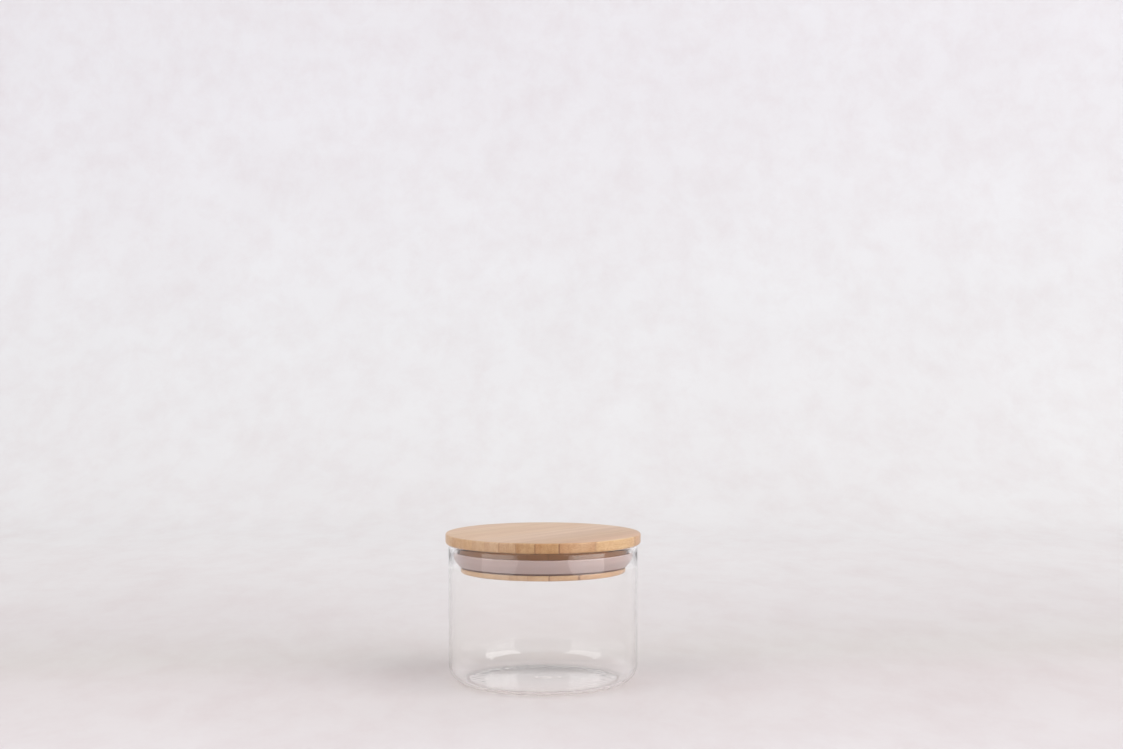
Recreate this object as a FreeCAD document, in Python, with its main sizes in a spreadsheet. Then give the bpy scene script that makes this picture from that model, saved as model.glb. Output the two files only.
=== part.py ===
"""Straight-sided storage jar of clear borosilicate glass, closed by a turned bamboo lid with a silicone seal.

Three pieces, each its own body, built in millimetres with +Z up and the origin on the jar's axis at the
surface that it stands on:

    glass_jar      blown glass with a rounded heel, a shallow punt, and a fire-polished rim that is drawn in
    bamboo_lid     one laminated bamboo blank, turned to a disc with a plug and a groove for the seal
    silicone_seal  moulded ring in that groove, whose skirt flares up and out to a lip on the jar's bore

Every section is drawn in its body's XZ plane, x being the distance from the axis and y the height, and is
turned once round the axis.
"""

import FreeCAD, Part
import math
import os

import Sketcher

# Driving dimensions: cell alias, value in mm, and what it sets.
DIMENSIONS = (
    ("jar_diameter", 100.0, "outside of the glass wall"),
    ("jar_height", 73.0, "standing surface to the rim"),
    ("wall", 1.5, "thickness of the blown wall"),
    ("heel_radius", 10.0, "outside radius between wall and base"),
    ("inner_heel_radius", 8.0, "inside radius between wall and floor"),
    ("floor_thickness", 1.3, "standing surface to the lowest part of the floor"),
    ("floor_rise", 0.6, "height of the floor's middle above its lowest part"),
    ("foot_width", 1.5, "flat ring that the jar stands on"),
    ("punt_depth", 0.9, "hollow under the middle of the base"),
    ("drawn_below_tip", 0.75, "start of the drawn-in wall, below the tip of the seal's lip"),
    ("drawn_radius", 20.0, "outside bend of the drawn-in wall"),
    ("lid_overhang", 1.6, "lid disc beyond the glass, all round"),
    ("lid_thickness", 5.5, "lid disc"),
    ("lid_top_round", 0.8, "rounded upper edge of the lid disc"),
    ("lid_lower_round", 1.2, "rounded lower edge of the lid disc"),
    ("plug_depth", 14.6, "underside of the lid disc to the end of the plug"),
    ("plug_clearance", 5.15, "plug flange to the bore of the jar, all round"),
    ("flange_thickness", 2.85, "flange at the end of the plug, under the seal"),
    ("flange_round", 0.4, "eased edges of the flange"),
    ("groove_depth", 2.2, "seal groove into the plug, all round"),
    ("seal_clearance", 0.05, "seal to the bamboo neck and to the bore"),
    ("seal_height", 8.2, "flange to the tip of the seal's lip"),
    ("root_width", 1.4, "seal's root on the neck, across"),
    ("root_height", 4.6, "seal's root on the neck, up"),
    ("foot_spread", 0.5, "foot of the skirt beyond the root"),
    ("skirt_thickness", 1.1, "seal's skirt and lip"),
    ("skirt_inset", 1.75, "top of the skirt inside the bore, where the lip turns out"),
    ("lip_rise", 0.9, "height in which the lip turns out to the bore"),
    ("lip_land", 1.6, "band of the lip that lies on the bore"),
    ("seal_round", 0.45, "rounded corners of the seal"),
)

# Radii and heights that more than one piece takes, as expressions on those cells.
JAR_RADIUS = "sizes.jar_diameter / 2"
BORE_RADIUS = f"({JAR_RADIUS} - sizes.wall)"
LID_RADIUS = f"({JAR_RADIUS} + sizes.lid_overhang)"
FLANGE_RADIUS = f"({BORE_RADIUS} - sizes.plug_clearance)"
NECK_RADIUS = f"({FLANGE_RADIUS} - sizes.groove_depth)"
FLANGE_TOP = "(sizes.flange_thickness - sizes.plug_depth)"
STRAIGHT_TOP = f"(sizes.jar_height + {FLANGE_TOP} + sizes.seal_height - sizes.drawn_below_tip)"

# A sketch's own references: the ends of an edge, the centre of an arc, and the two axes.
START, END, CENTRE = 1, 2, 3
HORIZONTAL_AXIS, VERTICAL_AXIS = -1, -2
ORIGIN = (HORIZONTAL_AXIS, START)

# Two places closer than this, in mm, are the same.
SAME_PLACE = 1e-4


def make_sheet(doc):
    """The spreadsheet whose aliases every size below is bound to."""
    sheet = doc.addObject("Spreadsheet::Sheet", "sizes")
    for row, (alias, value, meaning) in enumerate(DIMENSIONS, start=1):
        sheet.set(f"A{row}", alias)
        sheet.set(f"B{row}", str(value))
        sheet.set(f"C{row}", meaning)
        sheet.setAlias(f"B{row}", alias)
    doc.recompute()
    return sheet


def make_body(doc, name, height="0"):
    """A body whose own origin lies on the jar's axis, at the given height."""
    body = doc.addObject("PartDesign::Body", name)
    body.Label = name
    body.setExpression("Placement.Base.z", height)
    doc.recompute()
    return body


def origin_feature(body, role):
    """One of the body's own planes or axes."""
    return next(feature for feature in body.Origin.OriginFeatures if feature.Role == role)


class Section:
    """A half-section in a body's XZ plane, constrained by expressions on the sheet."""

    def __init__(self, body, name):
        self.body = body
        self.sketch = body.newObject("Sketcher::SketchObject", name)
        self.sketch.AttachmentSupport = [(origin_feature(body, "XZ_Plane"), "")]
        self.sketch.MapMode = "FlatFace"
        body.Document.recompute()

    def value(self, expression):
        """What an expression comes to, in mm."""
        return float(self.sketch.evalExpression(expression))

    def line(self, start, end):
        edge = Part.LineSegment(FreeCAD.Vector(*start, 0), FreeCAD.Vector(*end, 0))
        return self.sketch.addGeometry(edge, False)

    def arc(self, centre, radius, first, last):
        """An arc that runs counter-clockwise between two angles in degrees."""
        circle = Part.Circle(FreeCAD.Vector(*centre, 0), FreeCAD.Vector(0, 0, 1), radius)
        edge = Part.ArcOfCircle(circle, math.radians(first), math.radians(last))
        return self.sketch.addGeometry(edge, False)

    def rule(self, kind, *references):
        """A geometric constraint."""
        self.sketch.addConstraint(Sketcher.Constraint(kind, *references))

    def dimension(self, kind, *references, to):
        """A dimension that follows an expression."""
        constraint = Sketcher.Constraint(kind, *references, self.value(to))
        index = self.sketch.addConstraint(constraint)
        self.sketch.setExpression(f"Constraints[{index}]", to)

    def radius_of(self, point, to):
        """How far a point is from the axis."""
        self.dimension("DistanceX", *ORIGIN, *point, to=to)

    def height_of(self, point, to):
        """How high a point is above the body's origin."""
        self.dimension("DistanceY", *ORIGIN, *point, to=to)

    def place(self, edge, end):
        """The radius and height of one end of an edge, as solved."""
        point = self.sketch.getPoint(edge, end)
        return point.x, point.y

    def polygon(self, *corners):
        """Straight edges through corners given as a radius and a height, closed back to the first.

        A corner that repeats its neighbour's radius or height is tied to it by a vertical or
        horizontal edge, and every other one is dimensioned.
        """
        points = [(self.value(radius), self.value(height)) for radius, height in corners]
        edges = [self.line(point, points[index - len(points) + 1]) for index, point in enumerate(points)]
        for edge, following in zip(edges, edges[1:] + edges[:1]):
            self.rule("Coincident", edge, END, following, START)
        self.radius_of((edges[0], START), corners[0][0])
        self.height_of((edges[0], START), corners[0][1])
        for edge, here, there in zip(edges, corners, corners[1:]):
            if here[0] == there[0]:
                self.rule("Vertical", edge)
            else:
                self.radius_of((edge, END), there[0])
            if here[1] == there[1]:
                self.rule("Horizontal", edge)
            else:
                self.height_of((edge, END), there[1])
        return edges

    def turn(self, kind, name):
        """Revolve the section once round the body's Z axis, as a Revolution or a Groove."""
        self.body.Document.recompute()
        feature = self.body.newObject(f"PartDesign::{kind}", name)
        feature.Profile = self.sketch
        feature.ReferenceAxis = (origin_feature(self.body, "Z_Axis"), [""])
        feature.Angle = 360
        self.body.Document.recompute()
        return feature


def circle_name(feature, place):
    """Name of the feature's circular edge that a section's corner at this radius and height turns into."""
    for index, edge in enumerate(feature.Shape.Edges, start=1):
        if isinstance(edge.Curve, Part.Circle):
            circle = (edge.Curve.Radius, edge.Curve.Center.z)
            if math.dist(circle, place) < SAME_PLACE:
                return f"Edge{index}"
    raise RuntimeError(f"{feature.Name} has no circular edge at {place}")


def round_edges(body, name, places, size):
    """Fillet the circular edges that the section corners at these places turn into."""
    base = body.Tip
    fillet = body.newObject("PartDesign::Fillet", name)
    fillet.Base = (base, [circle_name(base, place) for place in places])
    fillet.setExpression("Radius", size)
    body.Document.recompute()


def make_glass_jar(doc):
    """Blown glass: foot ring, rounded heel, upright wall, drawn-in rim, and inside a heel and a low dome."""
    body = make_body(doc, "glass_jar")
    section = Section(body, "jar_section")
    value = section.value
    outside = value(JAR_RADIUS)
    bore = value(BORE_RADIUS)
    wall = value("sizes.wall")
    heel = value("sizes.heel_radius")
    inner_heel = value("sizes.inner_heel_radius")
    floor = value("sizes.floor_thickness")
    rise = value("sizes.floor_rise")
    depth = value("sizes.punt_depth")
    rim = value("sizes.jar_height") - wall / 2
    drawn_from = value(STRAIGHT_TOP)
    drawn = value("sizes.drawn_radius")

    # Drawn near where the constraints will hold it.
    foot_outer = outside - heel
    foot_inner = foot_outer - value("sizes.foot_width")
    punt_radius = (foot_inner**2 + depth**2) / (2 * depth)
    punt_angle = math.degrees(math.asin(foot_inner / punt_radius))
    inner_x = bore - inner_heel
    dome_radius = (inner_x**2 + (inner_heel - rise) ** 2 - inner_heel**2) / (2 * rise)
    dome_angle = math.degrees(math.asin(inner_x / (dome_radius + inner_heel)))
    drawn_x = outside - drawn
    lean = math.degrees(math.asin((rim - drawn_from) / (drawn - wall / 2)))
    rim_x = drawn_x + (drawn - wall / 2) * math.cos(math.radians(lean))
    punt = section.arc((0, depth - punt_radius), punt_radius, 90 - punt_angle, 90)
    foot = section.line((foot_inner, 0), (foot_outer, 0))
    outer_heel = section.arc((foot_outer, heel), heel, 270, 360)
    outer_wall = section.line((outside, heel), (outside, drawn_from))
    outer_drawn = section.arc((drawn_x, drawn_from), drawn, 0, lean)
    lip = section.arc((rim_x, rim), wall / 2, lean, 180 + lean)
    inner_drawn = section.arc((drawn_x, drawn_from), drawn - wall, 0, lean)
    inner_wall = section.line((bore, drawn_from), (bore, floor + inner_heel))
    inner_bend = section.arc((inner_x, floor + inner_heel), inner_heel, 270 - dome_angle, 360)
    dome = section.arc((0, floor + rise - dome_radius), dome_radius, 90 - dome_angle, 90)
    middle = section.line((0, floor + rise), (0, depth))

    section.rule("Coincident", punt, START, foot, START)
    section.rule("Horizontal", foot)
    section.rule("PointOnObject", foot, START, HORIZONTAL_AXIS)
    section.rule("Tangent", foot, END, outer_heel, START)
    section.rule("Tangent", outer_heel, END, outer_wall, START)
    section.rule("Vertical", outer_wall)
    section.rule("Vertical", inner_wall)
    section.rule("Tangent", outer_wall, END, outer_drawn, START)
    section.rule("Tangent", outer_drawn, END, lip, START)
    section.rule("Tangent", lip, END, inner_drawn, END)
    section.rule("Coincident", inner_drawn, CENTRE, outer_drawn, CENTRE)
    section.rule("Tangent", inner_drawn, START, inner_wall, START)
    section.rule("Tangent", inner_wall, END, inner_bend, END)
    section.rule("Tangent", inner_bend, START, dome, START)
    section.rule("Coincident", dome, END, middle, START)
    section.rule("Coincident", middle, END, punt, END)
    for edge in (dome, punt):
        section.rule("PointOnObject", edge, CENTRE, VERTICAL_AXIS)
        section.rule("PointOnObject", edge, END, VERTICAL_AXIS)

    section.radius_of((outer_wall, START), JAR_RADIUS)
    section.dimension("Radius", outer_heel, to="sizes.heel_radius")
    section.dimension("DistanceX", foot, START, foot, END, to="sizes.foot_width")
    section.height_of((punt, END), "sizes.punt_depth")
    section.dimension("Radius", outer_drawn, to="sizes.drawn_radius")
    section.height_of((outer_drawn, CENTRE), STRAIGHT_TOP)
    section.dimension("Radius", lip, to="sizes.wall / 2")
    section.height_of((lip, CENTRE), "sizes.jar_height - sizes.wall / 2")
    section.dimension("Radius", inner_bend, to="sizes.inner_heel_radius")
    section.height_of((inner_bend, CENTRE), "sizes.floor_thickness + sizes.inner_heel_radius")
    section.height_of((dome, END), "sizes.floor_thickness + sizes.floor_rise")
    section.turn("Revolution", "blown_glass")
    return body


def make_bamboo_lid(doc):
    """Disc and plug turned from one blank, then the seal's groove up to the disc, then the eased edges."""
    body = make_body(doc, "bamboo_lid", "sizes.jar_height")
    blank = Section(body, "blank_section")
    plug_end, _, underside, disc_side, _, _ = blank.polygon(
        ("0", "-sizes.plug_depth"),
        (FLANGE_RADIUS, "-sizes.plug_depth"),
        (FLANGE_RADIUS, "0"),
        (LID_RADIUS, "0"),
        (LID_RADIUS, "sizes.lid_thickness"),
        ("0", "sizes.lid_thickness"),
    )
    blank.turn("Revolution", "turned_blank")

    groove = Section(body, "groove_section")
    ledge, _, _, _ = groove.polygon(
        (NECK_RADIUS, FLANGE_TOP),
        (FLANGE_RADIUS, FLANGE_TOP),
        (FLANGE_RADIUS, "0"),
        (NECK_RADIUS, "0"),
    )
    groove.turn("Groove", "seal_groove")

    flange_edges = (blank.place(plug_end, END), groove.place(ledge, END))
    round_edges(body, "top_round", (blank.place(disc_side, END),), "sizes.lid_top_round")
    round_edges(body, "lower_round", (blank.place(underside, END),), "sizes.lid_lower_round")
    round_edges(body, "flange_rounds", flange_edges, "sizes.flange_round")
    return body


def make_silicone_seal(doc):
    """Root on the plug's neck, and a skirt that leans out from its foot and turns to a lip on the bore."""
    body = make_body(doc, "silicone_seal", f"sizes.jar_height + {FLANGE_TOP}")
    section = Section(body, "seal_section")
    value = section.value
    root_inside = f"({NECK_RADIUS} + sizes.seal_clearance)"
    root_outside = f"({root_inside} + sizes.root_width)"
    foot_outside = f"({root_outside} + sizes.foot_spread)"
    lip_outside = f"({BORE_RADIUS} - sizes.seal_clearance)"
    turn_radius = f"({BORE_RADIUS} - sizes.skirt_inset)"
    lip_foot = "(sizes.seal_height - sizes.lip_land)"
    turn_height = f"({lip_foot} - sizes.lip_rise)"

    # Corners in order round the section. The inner ones of the skirt are drawn near their places, and
    # the constraints keep the skirt and the lip one thickness throughout.
    thickness = value("sizes.skirt_thickness")
    inner = (value(root_inside), value(root_outside))
    tip = (value(lip_outside), value("sizes.seal_height"))
    turn = (value(turn_radius), value(turn_height))
    corners = (
        (inner[0], 0),
        (value(foot_outside), 0),
        turn,
        (tip[0], value(lip_foot)),
        tip,
        (tip[0] - thickness, tip[1]),
        (tip[0] - thickness, value(lip_foot) + thickness / 2),
        (turn[0] - thickness, turn[1] + thickness / 2),
        (inner[1], thickness),
        (inner[1], value("sizes.root_height")),
        (inner[0], value("sizes.root_height")),
    )
    edges = [section.line(*ends) for ends in zip(corners, corners[1:] + corners[:1])]
    for edge, following in zip(edges, edges[1:] + edges[:1]):
        section.rule("Coincident", edge, END, following, START)
    bottom, skirt, flare, land, top, lip_inside, flare_inside, skirt_inside, root, root_top, neck = edges

    section.rule("PointOnObject", bottom, START, HORIZONTAL_AXIS)
    for edge in (bottom, top, root_top):
        section.rule("Horizontal", edge)
    for edge in (land, lip_inside, root, neck):
        section.rule("Vertical", edge)
    for outer, within in ((skirt, skirt_inside), (flare, flare_inside)):
        section.rule("Parallel", outer, within)
        section.dimension("Distance", within, START, outer, to="sizes.skirt_thickness")
    section.dimension("DistanceX", top, END, top, START, to="sizes.skirt_thickness")
    section.radius_of((bottom, START), root_inside)
    section.radius_of((bottom, END), foot_outside)
    section.radius_of((skirt, END), turn_radius)
    section.height_of((skirt, END), turn_height)
    section.radius_of((flare, END), lip_outside)
    section.height_of((flare, END), lip_foot)
    section.height_of((land, END), "sizes.seal_height")
    section.radius_of((root, START), root_outside)
    section.height_of((root, END), "sizes.root_height")
    section.turn("Revolution", "moulded_ring")

    rounded = (bottom, skirt, flare, land, top, lip_inside, flare_inside, skirt_inside, root)
    round_edges(body, "seal_rounds", [section.place(edge, END) for edge in rounded], "sizes.seal_round")
    return body


def check(doc, bodies):
    """Stop if any feature failed or any piece is not one sound solid."""
    failed = [item.Name for item in doc.Objects if {"Invalid", "Error"} & set(item.State)]
    if failed:
        raise RuntimeError(f"features that did not build: {failed}")
    for body in bodies:
        shape = body.Shape
        if shape.isNull() or not shape.isValid() or len(shape.Solids) != 1:
            raise RuntimeError(f"{body.Label} is not one valid solid")


def main():
    doc = FreeCAD.newDocument("storage_jar")
    make_sheet(doc)
    bodies = [make_glass_jar(doc), make_bamboo_lid(doc), make_silicone_seal(doc)]
    doc.recompute()
    check(doc, bodies)
    os.makedirs("parts", exist_ok=True)
    for body in bodies:
        body.Shape.exportStep(f"parts/{body.Label}.step")
        print(f"{body.Label}: {body.Shape.Volume / 1000:.1f} cm3, {body.Shape.BoundBox}")


main()
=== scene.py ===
"""Clear glass storage jar with a turned bamboo plug lid and a silicone seal, on a pale studio floor."""

import math

import bmesh
import bpy
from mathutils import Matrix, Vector, noise


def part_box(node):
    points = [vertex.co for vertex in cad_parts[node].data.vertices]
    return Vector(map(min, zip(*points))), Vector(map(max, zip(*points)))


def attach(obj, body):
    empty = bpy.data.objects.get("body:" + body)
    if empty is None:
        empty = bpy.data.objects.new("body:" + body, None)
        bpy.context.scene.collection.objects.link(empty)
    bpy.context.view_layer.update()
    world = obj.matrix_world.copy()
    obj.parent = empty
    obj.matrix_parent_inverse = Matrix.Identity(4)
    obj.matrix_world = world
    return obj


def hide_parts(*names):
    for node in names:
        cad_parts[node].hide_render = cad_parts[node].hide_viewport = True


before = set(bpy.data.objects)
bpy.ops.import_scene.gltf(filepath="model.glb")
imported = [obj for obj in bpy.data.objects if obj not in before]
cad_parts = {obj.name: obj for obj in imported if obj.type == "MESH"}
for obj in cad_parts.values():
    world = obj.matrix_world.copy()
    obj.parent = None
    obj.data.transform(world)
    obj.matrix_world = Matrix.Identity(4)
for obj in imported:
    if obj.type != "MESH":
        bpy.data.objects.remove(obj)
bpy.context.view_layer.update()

# ---------------------------------------------------------------------------------------------------
# The jar: clear borosilicate glass, blown in one piece with an even wall, a rounded heel and a shallow
# punt under the floor, so that it stands on a flat ring. The rim is fire-polished: it draws in a little
# and thickens inward to a rounded bead.

MM = 0.001
jar_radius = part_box("glass_jar")[1].x
jar_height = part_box("glass_jar")[1].z
wall = 1.5 * MM
heel_radius = 9.2 * MM
inner_heel_radius = 7.9 * MM
floor_thickness = 1.3 * MM
floor_rise = 0.25 * MM
foot_width = 1.5 * MM
punt_depth = 0.5 * MM
rim_bend = 20 * MM
rim_bend_below_seal = 0.75 * MM
rim_bend_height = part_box("silicone_seal")[1].z - rim_bend_below_seal
rim_round = 1.4 * MM
bead_length = 10.5 * MM
bead_curve = 1.5
bead_rows = 32
bore_radius = jar_radius - wall
ripple = 0.09 * MM
ripple_radius = 36 * MM
ripple_spread = 5 * MM
ripple_scale = 0.42
on_axis = 1e-7


def bend(centre, radius, first, last, steps=12):
    """Points along an arc of a section, between two angles in degrees."""
    points = []
    for step in range(steps + 1):
        angle = math.radians(first + (last - first) * step / steps)
        points.append((centre[0] + radius * math.cos(angle), centre[1] + radius * math.sin(angle)))
    return points


def placed(name, data):
    """An object in the scene that holds a mesh, a lamp or a camera."""
    thing = bpy.data.objects.new(name, data)
    bpy.context.scene.collection.objects.link(thing)
    return thing


def skinned(name, rings, closed):
    """A smooth piece over rings of corners, each joined to the next, and the last to the first if closed.

    A ring of one corner is a point on the axis, where the sides meet.
    """
    shape = bmesh.new()
    sides = max(len(ring) for ring in rings)
    rows = []
    for ring in rings:
        row = [shape.verts.new(corner) for corner in ring]
        rows.append(row if len(row) > 1 else row * sides)
    for lower, upper in zip(rows, rows[1:] + rows[:1] if closed else rows[1:]):
        for side in range(sides):
            after = (side + 1) % sides
            shape.faces.new(dict.fromkeys((lower[side], lower[after], upper[after], upper[side])))
    bmesh.ops.recalc_face_normals(shape, faces=shape.faces)
    mesh = bpy.data.meshes.new(name)
    shape.to_mesh(mesh)
    shape.free()
    mesh.polygons.foreach_set("use_smooth", [True] * len(mesh.polygons))
    return placed(name, mesh)


def turned(name, section, steps=360, relief=None):
    """A section of (radius, height) points, closed on itself or on the axis, turned once about Z."""
    rings = []
    for radius, height in section:
        if radius < on_axis:
            rings.append([(0, 0, height)])
            continue
        ring = []
        for step in range(steps):
            angle = math.tau * step / steps
            lift = relief(radius, height, angle) if relief else 0
            ring.append((radius * math.cos(angle), radius * math.sin(angle), height + lift))
        rings.append(ring)
    return skinned(name, rings, closed=section[0][0] > on_axis)


class Wire:
    """An output in a material's node tree. Arithmetic on wires adds the Math nodes that work it out."""

    def __init__(self, tree, socket=None):
        self.tree = tree
        self.socket = socket

    def node(self, kind, settings=None, sockets=None, output=0):
        """Add a node: its settings first, with a ramp's stops among them, then its sockets' values or wires."""
        node = self.tree.nodes.new("ShaderNode" + kind)
        for name, value in (settings or {}).items():
            if name == "stops":
                ramp = node.color_ramp.elements
                while len(ramp) < len(value):
                    ramp.new(1)
                for stop, (place, colour) in zip(ramp, value):
                    stop.position = place
                    stop.color = colour
            elif name == "interpolation":
                node.color_ramp.interpolation = value
            else:
                setattr(node, name, value)
        for name, value in (sockets or {}).items():
            if isinstance(value, Wire):
                self.tree.links.new(value.socket, node.inputs[name])
            else:
                node.inputs[name].default_value = value
        return Wire(self.tree, node.outputs[output]) if len(node.outputs) else None

    def math(self, operation, *terms):
        return self.node("Math", {"operation": operation}, dict(enumerate(terms)))

    def __add__(self, other):
        return self.math("ADD", self, other)

    def __radd__(self, other):
        return self.math("ADD", other, self)

    def __sub__(self, other):
        return self.math("SUBTRACT", self, other)

    def __rsub__(self, other):
        return self.math("SUBTRACT", other, self)

    def __mul__(self, other):
        return self.math("MULTIPLY", self, other)

    def __rmul__(self, other):
        return self.math("MULTIPLY", other, self)

    def __gt__(self, other):
        return self.math("GREATER_THAN", self, other)

    def __lt__(self, other):
        return self.math("LESS_THAN", self, other)


def new_finish(name):
    """An empty material, and the wire that its nodes start from."""
    finish = bpy.data.materials.new(name)
    finish.use_nodes = True
    finish.node_tree.nodes.clear()
    return finish, Wire(finish.node_tree)


def lay_on(piece, finish, shader):
    """Close a material with its shader, and put it on a piece."""
    shader.node("OutputMaterial", {}, {"Surface": shader})
    piece.data.materials.append(finish)


rim_height = jar_height - rim_round
rim_middle = rim_bend - rim_round
rim_lean = math.degrees(math.asin((rim_height - rim_bend_height) / rim_middle))
rim_bend_x = jar_radius - rim_bend
rim_x = rim_bend_x + math.sqrt(rim_middle**2 - (rim_height - rim_bend_height) ** 2)
rim_inner, rim_inner_height = bend((rim_x, rim_height), rim_round, 180 + rim_lean, 180 + rim_lean, 1)[0]


def bore_at(height):
    """The bore's radius at a height: the wall thickens inward over its last stretch below the rim."""
    share = min(1, max(0, (height - rim_inner_height) / bead_length + 1))
    return bore_radius - (bore_radius - rim_inner) * share**bead_curve


def tool_ripples(radius, height, angle):
    """Low ripples that the shaping tool leaves on the inside of the floor, strongest near its edge."""
    margin = 0.01 * MM
    if not floor_thickness - margin < height < floor_thickness + floor_rise + margin:
        return 0
    strength = ripple * math.exp(-(((radius - ripple_radius) / ripple_spread) ** 2))
    spot = Vector((radius / MM * math.cos(angle), radius / MM * math.sin(angle), 0))
    return strength * noise.noise(spot * ripple_scale)


foot_outer = jar_radius - heel_radius
foot_inner = foot_outer - foot_width
punt_radius = (foot_inner**2 + punt_depth**2) / (2 * punt_depth)
punt_angle = math.degrees(math.asin(foot_inner / punt_radius))
dome_edge = bore_radius - inner_heel_radius
dome_radius = (dome_edge**2 + (inner_heel_radius - floor_rise) ** 2 - inner_heel_radius**2) / (2 * floor_rise)
dome_angle = math.degrees(math.asin(dome_edge / (dome_radius + inner_heel_radius)))
bead_heights = [rim_inner_height - bead_length * row / bead_rows for row in range(bead_rows + 1)]
glass_section = [
    *bend((0, punt_depth - punt_radius), punt_radius, 90, 90 - punt_angle, 24),
    *bend((foot_outer, heel_radius), heel_radius, 270, 360, 36),
    *bend((rim_bend_x, rim_bend_height), rim_bend, 0, rim_lean, 16),
    *bend((rim_x, rim_height), rim_round, rim_lean, 180 + rim_lean, 24)[1:-1],
    *[(bore_at(height), height) for height in bead_heights],
    *bend((dome_edge, floor_thickness + inner_heel_radius), inner_heel_radius, 360, 270 - dome_angle, 36),
    *bend((0, floor_thickness + floor_rise - dome_radius), dome_radius, 90 - dome_angle, 90, 72)[1:],
]
for end in (0, -1):
    glass_section[end] = (0, glass_section[end][1])
jar = turned("jar_glass", glass_section, relief=tool_ripples)

# Lamplight passes straight through the glass, a little dimmed, so that the jar's shadow stays soft.
clear_glass, start = new_finish("clear borosilicate glass")
glass_body = start.node("BsdfPrincipled", {}, {
    "Base Color": (0.995, 0.992, 0.987, 1),
    "Roughness": 0.0,
    "IOR": 1.47,
    "Transmission Weight": 1.0,
})
lamps_through = start.node("BsdfTransparent", {}, {"Color": (0.94, 0.935, 0.93, 1)})
shadow_ray = start.node("LightPath", output="Is Shadow Ray")
lay_on(jar, clear_glass, start.node("MixShader", {}, {0: shadow_ray, 1: glass_body, 2: lamps_through}))
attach(jar, "root")
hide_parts("glass_jar")

# ---------------------------------------------------------------------------------------------------
# The scar on the jar's floor: where the blown glass was parted from its tool, a thin uneven ring of
# glass stays on the inside, fused to the floor and slightly frosted.

scar_middle = Vector((1.7 * MM, 0.5 * MM, floor_thickness + floor_rise - 0.05 * MM))
scar_length = 6.2 * MM
scar_width = 1.8 * MM
scar_wire = 0.2 * MM
scar_steps = 96
scar_sides = 10


def rgb(red, green, blue):
    """A display colour, 0 to 255 a channel, as the linear colour that a socket takes."""
    return tuple(((level / 255 + 0.055) / 1.055) ** 2.4 for level in (red, green, blue)) + (1,)


scar_rings = []
for step in range(scar_steps):
    angle = math.tau * step / scar_steps
    wave = 1 + 0.2 * math.sin(3 * angle + 0.6) + 0.14 * math.sin(5 * angle + 2.1)
    outward = Vector((math.cos(angle), math.sin(angle), 0))
    spine = scar_middle + Vector((scar_length * wave * outward.x, scar_width * wave * outward.y, 0))
    size = scar_wire * (0.75 + 0.35 * math.sin(4 * angle + 1))
    turns = [math.tau * side / scar_sides for side in range(scar_sides)]
    scar_rings.append([spine + outward * size * math.cos(turn) + Vector((0, 0, size * math.sin(turn)))
                       for turn in turns])
scar = skinned("jar_floor_scar", scar_rings, closed=True)

frosted_glass, start = new_finish("frosted glass scar")
lay_on(scar, frosted_glass, start.node("BsdfPrincipled", {}, {
    "Base Color": rgb(246, 243, 243),
    "Roughness": 0.5,
    "Transmission Weight": 0.3,
}))
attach(scar, "root")

# ---------------------------------------------------------------------------------------------------
# The lid: strips of bamboo glued side by side into one block, turned to a disc with a plug under it.
# The plug has a collar, a groove for the seal, and a flange that keeps the seal on. The disc rests on
# the rim. The block is sanded fine and sealed with a thin satin lacquer.

lid_low, lid_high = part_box("bamboo_lid")
lid_radius = lid_high.x
lid_thickness = 5.5 * MM
lid_top_round = 0.8 * MM
lid_lower_round = 1.2 * MM
disc_under = lid_high.z - lid_thickness
plug_clearance = 5.15 * MM
flange_radius = bore_radius - plug_clearance
flange_thickness = 2.85 * MM
flange_round = 0.4 * MM
flange_top = lid_low.z + flange_thickness
groove_depth = 2.2 * MM
groove_height = 5.2 * MM
neck_radius = flange_radius - groove_depth
collar_radius = 43.9 * MM
collar_foot = flange_top + groove_height

# The strips, counted across the block: the glue lines between them, in millimetres from the middle,
# how dark each line is, and each strip's own tone.
strip_turn = math.radians(40.4)
glue_lines = (-59, -50.2, -41.1, -31.5, -22.0, -12.6, -3.3, 5.4, 13.4, 22.1, 30.6, 39.5, 49.1, 58)
line_depths = (0.3, 0.3, 0.3, 0.2, 0.12, 0.15, 0.15, 0.15, 0.3, 0.35, 0.8, 0.85, 0.25, 0.05)
strip_tones = (
    (206, 169, 126), (200, 161, 121), (204, 169, 128), (203, 168, 124), (200, 162, 119),
    (203, 167, 126), (203, 170, 134), (203, 170, 136), (194, 158, 121), (190, 152, 108),
    (189, 147, 100), (200, 158, 116), (227, 195, 149), (208, 167, 123),
)
glue_tone = rgb(124, 80, 48)
dark_streak_tone = rgb(240, 232, 222)
pale_streak_tone = rgb(70, 60, 52)
bundle_tone = rgb(200, 158, 122)
bundle_depth = 0.3
rind_depth = 0.22
# Painted light for the plug's groove: a lighter, warmer tone mixed in where the disc shades it. The flange gets
# a greyer tone.
groove_light_tone = rgb(255, 188, 140)
groove_painted_light = 0.75
flange_tone = rgb(202, 172, 142)
flange_share = 0.3
curl_tone = rgb(184, 134, 90)
curl_lines = 9
curls_from_strip = 11.5

lid_section = [
    (0, lid_low.z),
    (flange_radius / 2, lid_low.z),
    *bend((flange_radius - flange_round, lid_low.z + flange_round), flange_round, 270, 360, 6),
    *bend((flange_radius - flange_round, flange_top - flange_round), flange_round, 0, 90, 6),
    (neck_radius, flange_top),
    (neck_radius, collar_foot),
    (collar_radius, collar_foot),
    (collar_radius, disc_under),
    *bend((lid_radius - lid_lower_round, disc_under + lid_lower_round), lid_lower_round, 270, 360, 10),
    *bend((lid_radius - lid_top_round, lid_high.z - lid_top_round), lid_top_round, 0, 90, 10),
    (lid_radius / 2, lid_high.z),
    (0, lid_high.z),
]
lid = turned("lid_bamboo", lid_section)


def along(vector, direction):
    """The distance along a direction."""
    return vector.node("VectorMath", {"operation": "DOT_PRODUCT"}, {0: vector, 1: direction}, "Value")


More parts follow.
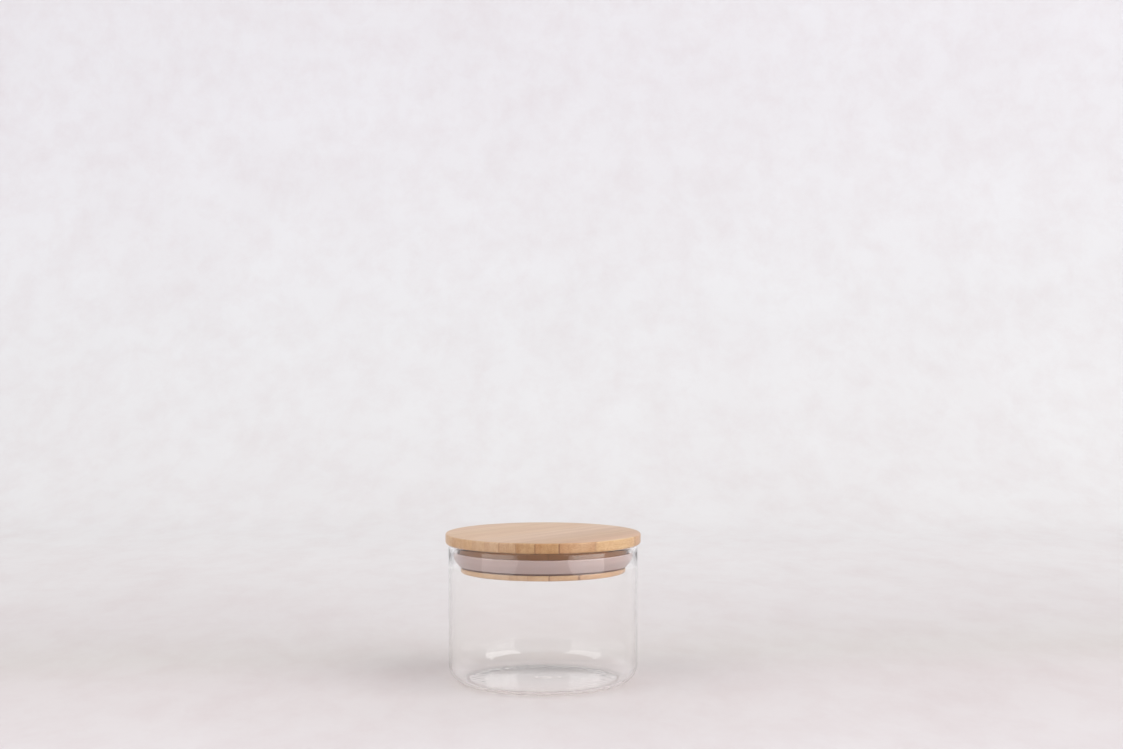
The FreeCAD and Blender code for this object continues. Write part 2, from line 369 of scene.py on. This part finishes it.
def graded(value, low, high, at_low=0.0, at_high=1.0, kind="LINEAR"):
    """A value carried from one range to another, and held at both ends."""
    return value.node("MapRange", {"interpolation_type": kind}, {
        "Value": value, "From Min": low, "From Max": high, "To Min": at_low, "To Max": at_high})


def mixed(share, first, second, how="MIX"):
    """A share of the second colour mixed into the first."""
    wire = next(term for term in (share, first, second) if isinstance(term, Wire))
    return wire.node("Mix", {"data_type": "RGBA", "blend_type": how}, {0: share, 6: first, 7: second}, 2)


def by_strip(count, colours):
    """One of the colours for each strip, picked by the strip's number."""
    slot = 1 / 16
    stops = [(number * slot, colour) for number, colour in enumerate(colours)]
    return count.node("ValToRGB", {"interpolation": "CONSTANT", "stops": stops}, {"Fac": (count + 0.5) * slot})


bamboo, start = new_finish("lacquered bamboo")
place = start.node("TexCoord", output="Object")
place = place.node("VectorMath", {"operation": "SCALE"}, {"Vector": place, "Scale": 1 / MM})
across = along(place, (math.cos(strip_turn), -math.sin(strip_turn), 0))
lengthwise = along(place, (math.sin(strip_turn), math.cos(strip_turn), 0))
up = along(place, (0, 0, 1))
on_side = graded(up, lid_high.z / MM - 0.6, lid_high.z / MM, 1.0, 0.15, "SMOOTHSTEP")
strip_place = 0
for first, last in zip(glue_lines, glue_lines[1:]):
    strip_place = strip_place + graded(across, first, last)
strip = start.math("FLOOR", strip_place)
share = strip_place - strip
seam = start.math("MINIMUM", share, 1 - share) * 9
age = start.node("TexWhiteNoise", {"noise_dimensions": "1D"}, {"W": strip + 3.7})
tone = by_strip(strip, [rgb(*strip_tone) for strip_tone in strip_tones])

# Fibre bundles run the length of a strip: dots on its end grain, and fine lines along its sides. They
# lie closer together towards the rind side of each strip.
bundle_place = start.node("CombineXYZ", {}, {0: across + age * 90, 1: lengthwise * 0.03, 2: up})
bundles = start.node("TexNoise", {}, {"Vector": bundle_place, "Scale": 1.9, "Detail": 1.5, "Roughness": 0.5})
dots = graded(bundles, 0.46, 0.66)
rind = (1 - share) * (1 - share) * on_side
streak_place = start.node("CombineXYZ", {}, {0: across + age * 90, 1: lengthwise * 0.02, 2: up * 0.4})
streaks = start.node("TexNoise", {}, {"Vector": streak_place, "Scale": 0.5, "Detail": 4.0, "Roughness": 0.6})
pale = graded(streaks, 0.35, 0.65, 0.0, 0.8)
dark_streak = mixed(1.0, tone, dark_streak_tone, "MULTIPLY")
pale_streak = mixed(1.0, tone, pale_streak_tone, "SCREEN")
wood = mixed(pale, dark_streak, pale_streak)
wood = mixed(dots * bundle_depth + rind * rind_depth, wood, bundle_tone, "MULTIPLY")

# The plug's groove is painted lighter and warmer than the disc: painted light where the disc shades it. Its
# flange is a greyer tone.
groove_low = flange_top / MM + 0.1
groove_high = disc_under / MM - 0.1
in_groove = (up > groove_low) * (up < groove_high)
on_flange = up < groove_low
wood = mixed(in_groove * groove_painted_light, wood, groove_light_tone)
wood = mixed(on_flange * flange_share, wood, flange_tone)

# The last strips were sawn near a node, where the grain curls.
curl_place = start.node("CombineXYZ", {}, {0: lengthwise * 0.09, 1: up * 0.3, 2: across * 0.1})
curls = start.node("TexNoise", {}, {
    "Vector": curl_place, "Scale": 1.0, "Detail": 2.0, "Roughness": 0.5, "Distortion": 1.6})
contour = start.math("ABSOLUTE", start.math("FRACT", curls * curl_lines) - 0.5)
curl = graded(contour, 0.05, 0.2, 0.45, 0.0)
wood = mixed(curl * on_side * (strip > curls_from_strip), wood, curl_tone)

line = graded(seam, 0.08, 0.35, 1.0, 0.0)
line_depth = by_strip(strip_place, [(depth, depth, depth, 1) for depth in line_depths])
wood = mixed(line * on_side * line_depth * (1 - in_groove * 0.8), wood, glue_tone)
fibre_relief = start.node("Bump", {}, {"Strength": 0.2, "Distance": 0.1 * MM, "Height": bundles})
lay_on(lid, bamboo, start.node("BsdfPrincipled", {}, {
    "Base Color": wood,
    "Roughness": 0.5,
    "Coat Weight": 0.5,
    "Coat Roughness": 0.28,
    "Normal": fibre_relief,
}))
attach(lid, "root")
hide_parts("bamboo_lid")

# ---------------------------------------------------------------------------------------------------
# The seal: a moulded ring of milky silicone, stretched over the plug so that its root sits in the
# groove. Outside, it swells from the flange in one curve up to a lip that lies on the jar's bore.

seal_low, seal_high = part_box("silicone_seal")
seal_height = seal_high.z - seal_low.z
seal_round = 0.45 * MM
seal_clearance = 0.05 * MM
skirt = 1.1 * MM
root_inside = neck_radius + seal_clearance
root_outside = root_inside + 1.4 * MM
root_height = 4.6 * MM
recess_outside = root_outside - 0.2 * MM
recess_height = 0.8 * MM
foot_outside = root_outside + 1.2 * MM
lip_outside = bore_at(seal_high.z) - seal_clearance
lip_width = 0.6 * MM
# The seal's own tone, and a dark brown painted shade for its foot, in the shadowed gap above the flange.
silicone_tone = rgb(187, 164, 159)
painted_recess_shade = rgb(112, 78, 66)


def rounded(corners, steps=5):
    """A closed section through corners, each a radius, a height and how far off its rounding starts."""
    points = []
    for index, (*corner, size) in enumerate(corners):
        here = Vector(corner)
        before = Vector(corners[index - 1][:2]) - here
        after = Vector(corners[(index + 1) % len(corners)][:2]) - here
        start_point = here + before.normalized() * min(size, before.length * 0.4)
        end_point = here + after.normalized() * min(size, after.length * 0.4)
        for step in range(steps + 1):
            share = step / steps
            point = start_point.lerp(here, share).lerp(here.lerp(end_point, share), share)
            points.append(tuple(point))
    return points


seal_corners = [
    (root_inside, 0, seal_round),
    (recess_outside, 0, 0.1 * MM),
    (recess_outside, recess_height, 0.15 * MM),
    (foot_outside - 0.3 * MM, recess_height + 0.05 * MM, 0.2 * MM),
    (foot_outside, 1.4 * MM, 0.4 * MM),
    (lip_outside - 1.1 * MM, seal_height - 3.6 * MM, 2.2 * MM),
    (lip_outside, seal_height - 0.8 * MM, 1.0 * MM),
    (lip_outside, seal_height, 0.25 * MM),
    (lip_outside - lip_width, seal_height, 0.25 * MM),
    (lip_outside - lip_width - skirt, seal_height - 1.4 * MM, seal_round),
    (lip_outside - lip_width - skirt - 0.8 * MM, seal_height - 3.2 * MM, seal_round),
    (root_outside, 1.3 * MM, seal_round),
    (root_outside, root_height, seal_round),
    (root_inside, root_height, seal_round),
]
seal_section = [(radius, height + seal_low.z) for radius, height in rounded(seal_corners)]
seal = turned("seal_silicone", seal_section)

silicone, start = new_finish("milky silicone")
# The foot of the seal, up to the top of the recess, is painted darker: painted shade of the gap between the
# seal and the flange.
rise = along(start.node("TexCoord", output="Object"), (0, 0, 1 / MM)) - seal_low.z / MM
recess_shade_share = graded(rise, 0.8, 1.3, 1.0, 0.0)
lay_on(seal, silicone, start.node("BsdfPrincipled", {}, {
    "Base Color": mixed(recess_shade_share, silicone_tone, painted_recess_shade),
    "Roughness": 0.35,
    "Subsurface Weight": 0.4,
    "Subsurface Radius": (2 * MM, 1.5 * MM, 1.2 * MM),
    "Subsurface Scale": 1.0,
}))
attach(seal, "root")
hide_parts("silicone_seal")

# ---------------------------------------------------------------------------------------------------
# The studio: one pale painted sheet that sweeps up from floor to backdrop, a large softbox on each side
# of the camera, and the light of a pale room all round. The camera stands a little above the jar.

sheet_half_width = 3.5
sheet_front = -3.0
sheet_top = 3.0
wall_distance = 1.2
sweep = 0.5
# Painted shade and light: the sheet's tone is darker in a band just behind the jar, as in the shade of a bend
# close behind it, and paler further back and up.
sheet_painted_shading = (
    (0.02, (218, 213, 214)),
    (0.1, (213, 207, 207)),
    (0.14, (209, 205, 203)),
    (0.17, (210, 206, 205)),
    (0.21, (213, 209, 209)),
    (0.27, (217, 214, 214)),
    (0.36, (222, 220, 220)),
    (0.45, (224, 223, 223)),
    (0.75, (222, 222, 224)),
    (0.94, (224, 223, 227)),
)
cloud_tone = rgb(236, 228, 228)
crease_tone = rgb(238, 226, 226)

sweep_line = bend((wall_distance - sweep, sweep), sweep, 270, 360, 24)
profile = [(sheet_front, 0), *sweep_line, (wall_distance, sheet_top)]
sheet_mesh = bpy.data.meshes.new("studio_sheet")
points = [(x, y, z) for y, z in profile for x in (-sheet_half_width, sheet_half_width)]
faces = [(2 * row, 2 * row + 1, 2 * row + 3, 2 * row + 2) for row in range(len(profile) - 1)]
sheet_mesh.from_pydata(points, [], faces)
sheet_mesh.polygons.foreach_set("use_smooth", [True] * len(faces))
sheet = placed("studio_sheet", sheet_mesh)

pale_sheet, start = new_finish("pale painted sheet")
place = start.node("TexCoord", output="Object")
run = along(place, (-0.1, 1, 1)) * 0.5 + 0.1
# The tone along the sheet carries the painted shade and light.
tint = start.node("ValToRGB", {"stops": [(at, rgb(*level)) for at, level in sheet_painted_shading]}, {"Fac": run})
cloth_place = place.node("VectorMath", {"operation": "MULTIPLY"}, {0: place, 1: (1, 0.5, 1)})
clouds = start.node("TexNoise", {}, {
    "Vector": cloth_place, "Scale": 7.0, "Detail": 6.0, "Roughness": 0.62, "Distortion": 0.6})
tint = mixed(graded(clouds, 0.35, 0.65, 0.0, 0.16), tint, cloud_tone, "MULTIPLY")
creases = start.node("TexNoise", {}, {
    "Vector": cloth_place, "Scale": 30.0, "Detail": 6.0, "Roughness": 0.68, "Distortion": 0.2})
tint = mixed(graded(creases, 0.42, 0.68, 0.0, 0.24), tint, crease_tone, "MULTIPLY")
lay_on(sheet, pale_sheet, start.node("BsdfPrincipled", {}, {
    "Base Color": tint,
    "Roughness": 0.9,
    "Specular IOR Level": 0.2,
}))

softbox_elevation = 36
softbox_distance = 3.0
softbox_width = 2.75
softbox_height = 4.3


def softbox(name, azimuth, radiance):
    """A softbox that faces the jar, placed by its bearing from the camera's side, in degrees."""
    turn = math.radians(azimuth)
    tilt = math.radians(softbox_elevation)
    aim = Vector((0, 0, jar_height / 2))
    away = Vector((math.sin(turn) * math.cos(tilt), -math.cos(turn) * math.cos(tilt), math.sin(tilt)))
    lamp = bpy.data.lights.new(name, "AREA")
    lamp.shape = "RECTANGLE"
    lamp.size = softbox_width
    lamp.size_y = softbox_height
    lamp.energy = radiance * math.pi * softbox_width * softbox_height
    holder = placed(name, lamp)
    holder.location = aim + away * softbox_distance
    holder.rotation_euler = away.to_track_quat("Z", "Y").to_euler()
    holder.visible_camera = False


softbox("softbox_right", 58.5, 2.45)
softbox("softbox_left", -57.5, 1.73)

# The room is lightest low down at the sides and behind the jar. What the camera sees past the sheet,
# and what shows through glass, is paler than the light that falls on the jar.
room_level = 0.26
side_level = 0.8
camera_level = 0.85
through_level = 0.5
world = bpy.data.worlds.new("studio")
world.use_nodes = True
world.node_tree.nodes.clear()
start = Wire(world.node_tree)
bearing = start.node("TexCoord", output="Generated")
ahead = bearing.node("SeparateXYZ", {}, {"Vector": bearing}, "Y")
height = bearing.node("SeparateXYZ", {}, {"Vector": bearing}, "Z")
beside = graded(ahead, -0.6, -0.1, kind="SMOOTHSTEP")
low = graded(height, 0.35, 0.8, 1.0, 0.0, "SMOOTHSTEP")
room = room_level + (side_level - room_level) * beside * low
through = start.node("LightPath", output="Is Transmission Ray") * through_level
direct = start.node("LightPath", output="Is Camera Ray") * camera_level
seen = start.math("MAXIMUM", direct, start.math("MAXIMUM", through, room))
background = start.node("Background", {}, {"Color": (1.0, 0.98, 0.98, 1), "Strength": seen})
start.node("OutputWorld", {}, {"Surface": background})
bpy.context.scene.world = world

camera_distance = 977.3 * MM
camera_height = 186.4 * MM
camera_right = 9.74 * MM
camera_tilt = 1.4227
camera = placed("camera", bpy.data.cameras.new("camera"))
camera.data.lens = 59.31
camera.data.sensor_width = 36
camera.location = (camera_right, -camera_distance, camera_height)
camera.rotation_euler = (math.radians(90 - camera_tilt), 0, 0)
bpy.context.scene.camera = camera
bpy.context.scene.view_settings.view_transform = "Standard"
